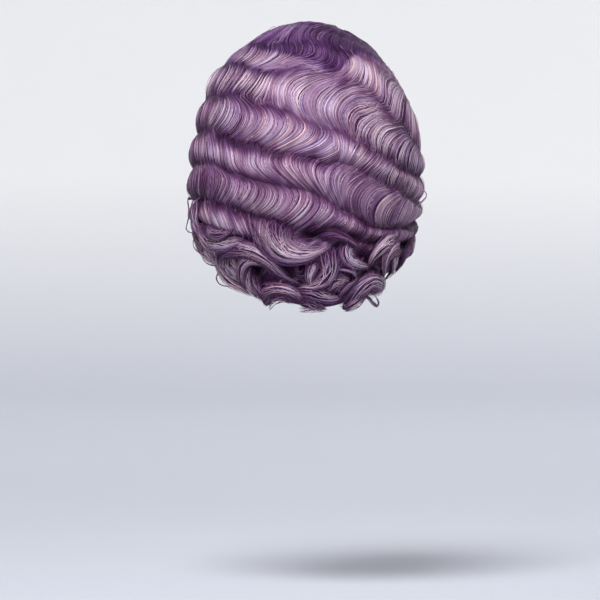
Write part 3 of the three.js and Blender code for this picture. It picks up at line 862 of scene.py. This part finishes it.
# Curls of the fringe. The ones that the picture shows are traced: width and lift in millimetres, how much
# wider the root is, a tone of its own, then the pixels that the lock's middle runs through from root to tip.
tracedLocks = [
    (9, 3, 2.0, 0.2, [(273, 218), (276, 236), (285, 248), (300, 252), (316, 250), (331, 243)]),
    (6, 2, 0.3, 0, [(208, 222), (210, 231), (219, 235), (229, 232), (234, 226)]),
    (4, 2, 0.3, 0, [(211, 224), (214, 230), (220, 231), (226, 228)]),
    (7, 3, 0.4, 0, [(202, 237), (214, 241), (228, 243), (239, 240), (247, 243)]),
    (7, 4, 0.6, -0.08, [(210, 257), (221, 249), (236, 247), (252, 249),
                        (265, 256), (276, 266), (287, 276), (300, 283)]),
    (6, 4, 0.3, 0, [(247, 291), (243, 277), (244, 265), (251, 258), (261, 259), (270, 264), (280, 272)]),
    (4, 3, 0.3, 0, [(251, 264), (250, 276), (252, 287), (257, 297)]),
    (7, 3, 0.4, -0.15, [(256, 298), (266, 289), (280, 286), (294, 290), (303, 298), (307, 306)]),
    (6, 2, 0.4, 0, [(262, 304), (272, 296), (284, 295), (294, 302)]),
    (7, 1, 0.5, 0, [(251, 268), (254, 281), (259, 292), (265, 301)]),
    (7, 3, 0.6, 0, [(218, 249), (221, 264), (229, 277), (241, 286), (251, 295)]),
    (6, 1, 0.5, 0.08, [(224, 252), (227, 265), (235, 275), (246, 281)]),
    (6, 1, 0.5, 0.08, [(202, 236), (207, 249), (216, 262), (225, 273)]),
    (4, 5, 0.4, 0, [(318, 236), (330, 232), (341, 235), (351, 242), (362, 248)]),
    (9, 4, 0.8, 0, [(327, 244), (328, 257), (328, 268), (322, 278), (311, 284), (299, 285)]),
    (5, 3, 0.4, 0, [(318, 257), (312, 266), (309, 276), (312, 286)]),
    (7, 4, 0.5, 0, [(354, 240), (346, 248), (347, 257), (357, 263), (370, 265)]),
    (7, 6, 0.5, 0.25, [(398, 241), (386, 240), (376, 247), (370, 257), (369, 266)]),
    (7, 7, 0.5, 0.2, [(402, 245), (390, 246), (382, 254), (381, 265), (385, 275)]),
    (5, 6, 0.3, 0.12, [(396, 251), (390, 259), (389, 268), (393, 274)]),
    (6, 4, 0.3, 0, [(414, 239), (407, 247), (401, 256), (397, 266), (394, 274)]),
    (9, 7, 0.3, -0.15, [(347, 307), (352, 294), (359, 284), (368, 278),
                        (376, 281), (378, 287), (371, 291), (362, 291)]),
    (5, 6, 0.3, 0, [(343, 309), (351, 301), (359, 296), (368, 294)]),
    (1.6, 5, 0.3, 0, [(366, 293), (369, 300), (373, 303), (375, 299), (374, 294)]),
    (3, 5, 0.3, 0, [(337, 301), (340, 291), (345, 284), (352, 279), (361, 272)]),
    (1.4, 7, 0.0, 0, [(332, 268), (344, 268), (352, 273), (355, 281)]),
    (7, 4, 0.5, 0, [(296, 290), (311, 289), (322, 294), (334, 296), (346, 290)]),
    (7, 2, 0.5, 0, [(300, 300), (314, 303), (326, 308)]),
    (7, 2, 0.5, 0, [(322, 288), (334, 280), (345, 279), (352, 286)]),
    (1.5, 3, 0.2, 0, [(198, 199), (190, 198), (192, 206), (193, 216),
                      (190, 224), (188, 229), (191, 233), (197, 231)]),
    (4, 1, 0.3, 0, [(196, 197), (198, 208), (198, 220), (202, 232)]),
    (6, 2, 0.4, 0, [(200, 243), (205, 253), (214, 260), (223, 262)]),
    (9, -2, 0.3, 0, [(220, 248), (227, 258), (235, 268), (244, 280)]),
    (7, 4, 0.2, 0, [(350, 299), (358, 290), (367, 285), (375, 287)]),
    (0.5, 8, 0.0, 0, [(413, 207), (416, 199), (416, 192), (412, 185)]),
    (0.4, 6, 0.0, 0, [(197, 233), (200, 243), (205, 252), (211, 258)]),
    (0.4, 6, 0.0, 0, [(219, 270), (223, 278), (228, 284), (234, 286)]),
]
# Columns of a lock that isn't traced: start angle round from the back and start height, heading from
# straight down and its turn over the whole lock, with the wearer's right positive, then length, width and
# lift. The rest makes it sway, and base is how far it is set out.
lockColumns = ["around", "height", "heading", "turn", "length", "width", "lift"]
swayColumns = ["sway", "cycles", "phase", "base"]
# The curls round the sides, which the picture hides.
sideLocks = [
    (-112, -164, 10, 200, 36, 13, 1),
    (-101, -161, -10, -200, 38, 13, 0),
    (-90, -160, 0, 200, 38, 13, 0),
    (-80, -160, 10, 150, 32, 12, 1),
    (-73, -146, 10, 60, 30, 11, 3),
    (-68, -135, -20, 60, 28, 10, 3),
    (-66, -154, 0, 120, 40, 12, 3),
    (76, -164, 10, 190, 34, 12, 1),
    (87, -164, -10, -200, 36, 13, 0),
    (98, -164, 10, 200, 36, 13, 0),
    (109, -164, -10, -190, 36, 13, 1),
]
curlSettings = {
    "steps": 14,
    "coreSides": 8,
    "coreShare": 0.65,  # of a lock's width
    # an even painted shade on the cores
    "coreShade": 0.5,
    "coreStart": (0.06, 0.05),  # share of the length over which a core opens, and how open it starts
    "coreStop": (0.3, 0.03),
    "coreStreaks": 0.04,  # UV round a core
    "fuller": 1.7,  # times the traced width, with the loose strands at its edges
    "sideFlare": 0.4,
    "strandsPerMm": 3.9,  # of a lock's width
    "fewestStrands": 8,
    "strandWidth": (0.4, 0.8),
    "endWidth": 0.3,
    "strandFlatness": 0.45,
    "strandTip": 1.5,
    "flatness": 0.34,
    "taper": 0.45,
    "curlMore": 1.3,  # above 1 the turn comes towards the tip
    "swayLift": 0.03,
    "rootDip": 3.5,  # a lock's root is sunk by this much, over this share of its length
    "dipShare": 0.2,
    "drift": 0.45,  # share of the half width that a strand wanders, at this pace
    "driftPace": 2.5,
    "overEdge": 1.1,
    "ruffle": 0.45,
    "ruffleSeat": 1.7,
    "rufflePace": 3.0,
    "outerPly": 0.6,  # below 1 more of the strands lie on top
    "tipGather": 0.4,  # strands draw together by this share, from here on
    "gatherFrom": 0.55,
    "tilt": 0.9,
    "begin": (0.0, 0.16),
    "finish": (0.75, 1.0),
    "tone": 0.58,
    "toneSpread": 0.13,
    "lockSpread": 0.1,
    "warmth": 0.5,
    "warmSpread": 0.22,
    # painted light on the locks: lighter on top, painted shade at the edges and root, a painted highlight at
    # the bend
    "plyShade": 0.45,  # lighter on top, from this ply on
    "plyMiddle": 0.7,
    "edgeShade": 0.5,
    "bendHighlight": 0.25,
    "rootTone": 0.35,  # darker at the root, over this share of the length
    "rootShare": 0.35,
}
# Small locks that fill between the others, darker as painted shade between them. They get shorter by
# sideShort from sideFrom degrees round on, over the next sideOver degrees.
fillerSettings = {
    "count": 80,
    "rolls": (8.4, 9.35),
    "edge": 172.0,
    # painted shade: the small locks are this much darker
    "tone": -0.2,
    "slimmer": 0.55,
    "sideShort": 0.4,
    "sideFrom": 40,
    "sideOver": 30,
    "heading": (-25, 25),
    "turn": (0, 120),
    "length": (22, 38),
    "width": (7, 12),
    "lift": (0, 4),
    "sway": (35, 80),
    "cycles": (0.7, 1.3),
    "phase": (0, 1),
    "base": (-7.0, -2.5),
}


# Point of the smooth hair form at an angle round from the back and a height, with its outward direction.
def formAround(around, height):
    level = np.clip((height - wigForm["centreZ"]) / (wigForm["hair"]["crownZ"] - wigForm["centreZ"]), -1, 1)
    flat = np.sqrt(1 - level**2)
    turned = np.radians(around)
    towards = np.stack([-flat * np.sin(turned), flat * np.cos(turned), level], -1).reshape(-1, 3)
    surface = formPoint(wigForm["hair"], towards)
    outward = unit(surface - formPoint(wigForm["head"], towards))
    return surface.reshape(around.shape + (3,)), outward.reshape(around.shape + (3,))


# How far a lock's middle stands off the form: a half sine of its lift, sunk by half its thickness, and sunk
# more at the root by a square.
def lockStand(width, lift, base, t):
    s = curlSettings
    stand = lift * np.sin(np.pi * t) - width * s["flatness"] / 2 + base
    return stand - s["rootDip"] * np.clip(1 - t / s["dipShare"], 0, 1) ** 2


# Middle line of a traced lock: a curve through its pixels by length run, set on the hair form by the
# picture's column and row.
def tracedLine(width, lift, pixels):
    steps = curlSettings["steps"]
    form = wigForm["hair"]
    column, row = np.array(pixels, float).T
    run = np.concatenate([[0], np.cumsum(np.hypot(np.diff(column), np.diff(row)))])
    at = np.linspace(0, run[-1], steps)
    x, z = picturePlace(readCurve(run, column, at), readCurve(run, row, at))
    level = (z - wigForm["centreZ"]) / (form["crownZ"] - wigForm["centreZ"])
    left = readCurve(form["height"], form["left"], z)
    right = readCurve(form["height"], form["right"], z)
    side = x / np.where(x > 0, left, right)
    towards = np.stack([side, np.sqrt(np.maximum(0, 1 - side**2 - level**2)), level], 1)
    surface = formPoint(form, towards)
    outward = unit(surface - formPoint(wigForm["head"], towards))
    return surface + outward * lockStand(width, lift, 0.0, np.linspace(0, 1, steps))[:, None], outward


# Middle lines of locks given by a start and a turn: the heading turns by a power of the share run and sways
# by a sine, and height and angle round are the running sums of its cosine and sine.
def turnedLines(locks):
    s = curlSettings
    c = {name: column[:, None] for name, column in locks.items()}
    t = np.linspace(0, 1, s["steps"])[None]
    beat = 2 * np.pi * (c["cycles"] * t + c["phase"])
    angle = np.radians(c["heading"] + c["turn"] * t ** s["curlMore"] + c["sway"] * np.sin(beat))
    step = c["length"] / (s["steps"] - 1)
    tall = c["height"] - step * (np.cumsum(np.cos(angle), 1) - np.cos(angle))
    surface, _ = formAround(c["around"] + 0 * tall, tall)
    radius = np.hypot(surface[..., 0], surface[..., 1])
    swept = np.degrees(step * np.sin(angle) / radius)
    surface, outward = formAround(c["around"] + np.cumsum(swept, 1) - swept, tall)
    stand = lockStand(c["width"], c["lift"], c["base"], t) + c["sway"] * s["swayLift"] * np.cos(beat)
    return surface + outward * stand[..., None], outward


# Half width of a lock along its length: wider by its flare at the root, less by a power towards the tip.
def lockHalf(width, flare, t):
    return width / 2 * (1 + flare * (1 - t) ** 2) * (1 - (1 - curlSettings["taper"]) * t**3)


# Cores: an oval section carried along each lock's line, closed to a point at both ends, in the under hair's
# dark colours with an even painted shade, so that gaps between the strands show dark.
def makeLockCores(name, lines, outward, widths):
    s = curlSettings
    count, steps, sides = len(lines), s["steps"], s["coreSides"]
    along = unit(np.gradient(lines, axis=1))
    side = unit(np.cross(along, outward))[:, :, None]
    up = np.cross(side, along[:, :, None])
    t = np.linspace(0, 1, steps)
    opening = t / s["coreStart"][0] + s["coreStart"][1]
    closing = (1 - t) / s["coreStop"][0] + s["coreStop"][1]
    half = lockHalf(widths[:, None], 0.0, t[None]) * s["coreShare"]
    half = half * np.clip(np.minimum(opening, closing), 0, 1)[None]
    angle = np.linspace(0, 2 * np.pi, sides, endpoint=False)[:, None]
    section = side * np.cos(angle) + up * np.sin(angle) * s["flatness"]
    rings = lines[:, :, None] + section * half[..., None, None]
    ends = np.stack([lines[:, 0], lines[:, -1]], 1)
    u = np.concatenate([np.tile(np.arange(sides) / sides, steps), [0, 0]]) * s["coreStreaks"]
    v = np.concatenate([np.repeat(t, sides), [0, 1]])
    uv = np.tile(np.stack([u, v], -1)[None], (count, 1, 1))
    piece = tubeMesh(name, rings, ends, uv, underHair)
    addShade(piece, np.full(len(piece.data.vertices), s["coreShade"]))
    return piece


# Strands of the locks: every strand follows its lock's line from a start to an end of its own, set off to
# the side by its place across the lock and outwards by its ply, as a share of the oval's height there. The
# tone is the lock's own, with painted light: lighter on top and a painted highlight where the lock bends, and
# painted shade at its edges and root.
def makeLockStrands(name, lines, outward, widths, flares, shade):
    s = curlSettings
    steps = s["steps"]
    perLock = np.round(widths * (1 + flares / 3) * s["strandsPerMm"])
    perLock = np.maximum(s["fewestStrands"], perLock).astype(int)
    lock = np.repeat(np.arange(len(lines)), perLock)
    count = len(lock)
    order = np.arange(count) - np.repeat(np.cumsum(perLock) - perLock, perLock)
    place = (order + randomHair.uniform(0, 1, count)) / perLock[lock] * 2 - 1
    begin = randomHair.uniform(*s["begin"], count)[:, None]
    finish = randomHair.uniform(*s["finish"], count)[:, None]
    share = np.linspace(0, 1, steps)[None]
    t = begin + (finish - begin) * share
    low = np.clip(np.floor(t * (steps - 1)).astype(int), 0, steps - 2)
    mix = (t * (steps - 1) - low)[..., None]
    row = lock[:, None]
    middle = lines[row, low] * (1 - mix) + lines[row, low + 1] * mix
    facing = unit(outward[row, low] * (1 - mix) + outward[row, low + 1] * mix)
    along = unit(np.gradient(middle, axis=1))
    side = unit(np.cross(along, facing))
    up = np.cross(side, along)
    seat = randomHair.uniform(*noiseSeats, count)[:, None]
    wander = s["drift"] * lineNoise(seat + t * s["driftPace"])
    across = np.clip(place[:, None] + wander, -s["overEdge"], s["overEdge"])
    ply = randomHair.uniform(0, 1, count) ** s["outerPly"]
    oval = np.sqrt(np.clip(1.05 - across**2, 0.02, 1)) * s["flatness"]  # a little open at the edges
    gather = 1 - s["tipGather"] * np.clip((t - s["gatherFrom"]) / (1 - s["gatherFrom"]), 0, 1) ** 2
    width = widths[lock][:, None]
    half = lockHalf(width, flares[lock][:, None], t) * gather
    ruffle = s["ruffle"] * lineNoise(seat * s["ruffleSeat"] + t * s["rufflePace"])
    rise = (2 * ply[:, None] - 1) * oval * lockHalf(width, 0.0, t) + ruffle
    paths = middle + side * (across * half)[..., None] + up * rise[..., None]
    tilted = unit(side * (across * s["tilt"])[..., None] + up)
    taper = s["endWidth"] + (1 - s["endWidth"]) * np.sin(np.pi * share**0.8) ** 0.5
    wide = randomHair.uniform(*s["strandWidth"], count)[:, None] * taper
    tone = s["tone"] + shade[lock] + s["toneSpread"] * randomHair.normal(0, 1, count)
    # painted shade below the top ply, at the edges and root, and a painted highlight where the lock bends
    tone = tone + s["plyShade"] * (ply - s["plyMiddle"])
    tone = tone + s["lockSpread"] * randomHair.normal(0, 1, len(lines))[lock]
    tone = tone[:, None] - s["edgeShade"] * across**2 + s["bendHighlight"] * (np.sin(np.pi * t) - 0.5)
    tone = tone - s["rootTone"] * np.clip(1 - t / s["rootShare"], 0, 1)
    tone = np.clip(tone, *toneEnds)
    warmth = np.clip(s["warmth"] + s["warmSpread"] * randomHair.normal(0, 1, (count, 1)), 0, 1)
    thick = wide * s["strandFlatness"]
    return strandMesh(name, paths, tilted, wide, thick, tone, warmth, fibre, s["strandTip"])


# Small locks: laid on a jittered row of places round the hem, with the other columns drawn from their ranges.
def fillerLocks():
    s = fillerSettings
    count = s["count"]
    slot = (np.arange(count) + randomHair.uniform(0, 1, count)) / count * 2 - 1
    roll = randomHair.uniform(*s["rolls"], count)
    root, _ = hairPoint(roll, slot * s["edge"], 0.0)
    around = np.degrees(np.arctan2(-root[:, 0], root[:, 1]))
    ways = randomHair.choice([-1.0, 1.0], count)
    short = 1 - s["sideShort"] * np.clip((np.abs(around) - s["sideFrom"]) / s["sideOver"], 0, 1)
    locks = {"around": around, "height": root[:, 2]}
    for name in lockColumns[2:] + swayColumns:
        locks[name] = randomHair.uniform(*s[name], count)
    locks["turn"] = locks["turn"] * ways
    locks["length"] = locks["length"] * short
    locks["lift"] = locks["lift"] * short
    return locks


# All curls: traced and side locks get cores and strands, and the small locks have strands alone.
def makeCurls():
    s = curlSettings
    fillers = fillerLocks()
    widths, lifts, flares, tones, pixels = zip(*tracedLocks)
    traced = [tracedLine(*lock) for lock in zip(widths, lifts, pixels)]
    sides = dict(zip(lockColumns, np.array(sideLocks, float).T))
    still = np.zeros(len(sideLocks))
    sideLines, sideOutward = turnedLines(sides | dict.fromkeys(swayColumns, still))
    fillerLines, fillerOutward = turnedLines(fillers)
    lines = np.concatenate([[line for line, _ in traced], sideLines])
    outward = np.concatenate([[out for _, out in traced], sideOutward])
    mainWidths = np.concatenate([np.array(widths) * s["fuller"], sides["width"]])
    mainFlares = np.concatenate([flares, still + s["sideFlare"]])
    mainTones = np.concatenate([tones, still])
    small = fillers["width"] * fillerSettings["slimmer"]
    # painted shade on the small locks
    fillerShade = np.full(len(small), fillerSettings["tone"])
    for piece in (
        makeLockCores("curlCores", lines, outward, mainWidths),
        makeLockStrands("curlStrands", lines, outward, mainWidths, mainFlares, mainTones),
        makeLockStrands("smallCurls", fillerLines, fillerOutward, small, 0 * small, fillerShade),
    ):
        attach(piece, "root")
        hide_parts("curled_fringe")
    print("curls made:", len(lines), "and", len(small), "small")


makeCurls()

# Loose hairs: single thin hairs over the waves, which bow out from them by a half sine.
looseSettings = {
    "count": 170,
    "steps": 14,
    "rolls": (1.6, 8.6),
    "rollsLong": (0.7, 1.5),
    "lastRoll": 9.6,
    "edge": 165.0,
    "lift": (0.5, 2.4),
    "sunk": 0.8,  # at the ends
    "wander": 2.5,
    "wanderPace": 1.5,
    "width": (0.25, 0.4),
    "tone": (0.3, 0.75),
    "warmth": 0.5,
}


def makeLooseHairs():
    s = looseSettings
    count = s["count"]
    fine = np.linspace(0, 1, strandSettings["fineSteps"])[None]
    across = randomHair.uniform(-s["edge"], s["edge"], count)[:, None] * np.ones_like(fine)
    start = randomHair.uniform(*s["rolls"], count)[:, None]
    long = randomHair.uniform(*s["rollsLong"], count)[:, None]
    moved = np.minimum(start + long * fine, s["lastRoll"])
    seat = randomHair.uniform(*noiseSeats, count)[:, None]
    roll, across = evenSteps(*sweptStrands(moved, across), s["steps"])
    t = np.linspace(0, 1, s["steps"])[None]
    across = across + s["wander"] * lineNoise(seat + t * s["wanderPace"])
    height = randomHair.uniform(*s["lift"], count)[:, None] * np.sin(np.pi * t) - s["sunk"]
    paths, outward = hairPoint(roll, across, height)
    width = randomHair.uniform(*s["width"], count)[:, None] * np.ones_like(t)
    tone = randomHair.uniform(*s["tone"], count)[:, None] * np.ones_like(t)
    piece = strandMesh("looseHairs", paths, outward, width, width, tone, s["warmth"], fibre)
    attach(piece, "root")
    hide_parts(*waveNodes)


makeLooseHairs()
print("loose hairs made:", looseSettings["count"])

# Stage: a floor that curves up into a round wall, a profile turned about the upright axis.
stageSettings = {
    "floorZ": -0.47,
    "middle": 0.5,  # radii in metres
    "flat": 4.2,
    "bend": 1.6,
    "bendSteps": 16,
    "top": 4.0,
    "turns": 96,
    "wall": (0.82, 0.82, 0.83),
    # painted shade: the floor is darker and bluer than the paper's own colour
    "ground": (0.53, 0.55, 0.62),
    "paleFrom": 0.35,  # metres above the floor where the wall's own colour is reached
    "grain": 0.06,
    "grainScale": 3.0,
    "shader": {"Roughness": 0.95},
}


# The ground colour is painted shade, fading into the wall's own colour by height.
def paperMaterial():  # from the ground's colour to the wall's by height, with a little grain
    s = stageSettings
    material, tree, shader = newMaterial("studio paper", s["shader"])
    place = addNode(tree, "ShaderNodeTexCoord").outputs["Object"]
    grain = addNode(tree, "ShaderNodeTexNoise", {"Vector": place, "Scale": s["grainScale"]})
    height = addNode(tree, "ShaderNodeSeparateXYZ", {"Vector": place}).outputs["Z"]
    rise = mathNode(tree, "MULTIPLY_ADD", height, 1 / s["paleFrom"], -s["floorZ"] / s["paleFrom"])
    mixed = mathNode(tree, "MULTIPLY_ADD", grain.outputs["Fac"], s["grain"], rise)
    colour = rampNode(tree, mixed, [(0.0, s["ground"]), (1.0, s["wall"])])
    tree.links.new(colour, shader.inputs["Base Color"])
    return material


def makeStage():
    s = stageSettings
    bend = np.linspace(0, np.pi / 2, s["bendSteps"])
    wall = s["flat"] + s["bend"]
    radius = np.concatenate([[s["middle"], s["flat"] / 2], s["flat"] + s["bend"] * np.sin(bend), [wall]])
    height = np.concatenate([[0, 0], s["bend"] * (1 - np.cos(bend)), [s["top"]]]) + s["floorZ"]
    turn = np.linspace(0, 2 * np.pi, s["turns"] + 1)
    x = radius[:, None] * np.cos(turn)
    y = radius[:, None] * np.sin(turn)
    rings = np.stack([x, y, np.broadcast_to(height[:, None], x.shape)], -1).reshape(-1, 3)
    points = np.concatenate([rings, [[0, 0, s["floorZ"]]]]) / millimetre
    number = np.arange(x.size).reshape(x.shape)
    fan = np.stack([np.full(s["turns"], x.size), number[0, :-1], number[0, 1:]], 1)
    floor = putMesh("studioFloor", points, gridFaces(number), fan, points[:, :2], paperMaterial())


makeStage()

# Light: soft panels over the camera, near it, at both sides and in front of the wall, and an even sky.
lightSettings = {
    # place and target in metres, side, power in watts and the angle the light spreads over
    "panels": [
        ("overCamera", (0.45, 2.3, 1.9), (0.0, 0.0, -0.11), 1.0, 20.0, 70),
        ("nearCamera", (-0.6, 3.6, 0.5), (0.0, 0.0, -0.11), 1.0, 2.6, 90),
        ("leftPanel", (2.4, 0.4, 0.4), (0.0, 0.0, -0.11), 1.2, 7.0, 180),
        ("rightPanel", (-2.4, 0.4, 0.5), (0.0, 0.0, -0.11), 1.2, 9.0, 180),
        ("wallPanelLeft", (2.5, -2.0, 3.0), (1.0, -5.5, 0.6), 2.0, 78.0, 180),
        ("wallPanelRight", (-2.5, -2.0, 3.0), (-1.0, -5.5, 0.6), 2.0, 104.0, 180),
    ],
    "sky": (0.93, 0.95, 1.0),
    "skyStrength": 0.2,
}


def aimAt(thing, target):  # turn the thing so that its -Z axis points at the target and +Y is up
    away = unit(np.array(thing.location) - np.array(target))
    right = unit(np.cross([0, 0, 1], away))
    turn = np.stack([right, np.cross(away, right), away], 1)
    yaw = math.atan2(turn[1, 0], turn[0, 0])
    thing.rotation_euler = (math.acos(max(-1, min(1, away[2]))), 0, yaw)


def makeLights():
    for name, place, target, size, power, spread in lightSettings["panels"]:
        light = bpy.data.lights.new(name, "AREA")
        light.size = size
        light.energy = power
        light.spread = math.radians(spread)
        panel = bpy.data.objects.new(name, light)
        panel.location = place
        panel.visible_camera = False
        bpy.context.scene.collection.objects.link(panel)
        aimAt(panel, target)
    world = bpy.data.worlds.new("even sky")
    world.use_nodes = True
    sky = world.node_tree.nodes["Background"]
    sky.inputs["Color"].default_value = (*lightSettings["sky"], 1)
    sky.inputs["Strength"].default_value = lightSettings["skyStrength"]
    bpy.context.scene.world = world


makeLights()

# Camera: behind the wig at its own height, far back with a long lens, and tipped down a little to the middle
# of the picture. Its distance makes one pixel as large at the wig as the picture's scale says.
cameraSettings = {
    "lens": 340.0,
    "sensor": 36.0,
    "pixels": 600,
    "far": 50.0,
    "height": -0.11,
    "centreX": 0.0059,
    "centreZ": -0.221,
}


def makeCamera():
    s = cameraSettings
    data = bpy.data.cameras.new("photoCamera")
    data.lens = s["lens"]
    data.sensor_width = s["sensor"]
    data.clip_end = s["far"]
    camera = bpy.data.objects.new("photoCamera", data)
    distance = s["pixels"] * picture["pixel"] * millimetre * s["lens"] / s["sensor"]
    camera.location = (s["centreX"], distance, s["height"])
    bpy.context.scene.collection.objects.link(camera)
    aimAt(camera, (s["centreX"], 0.0, s["centreZ"]))
    bpy.context.scene.camera = camera


makeCamera()
bpy.context.scene.view_settings.view_transform = "Standard"
print("stage, lights and camera made")
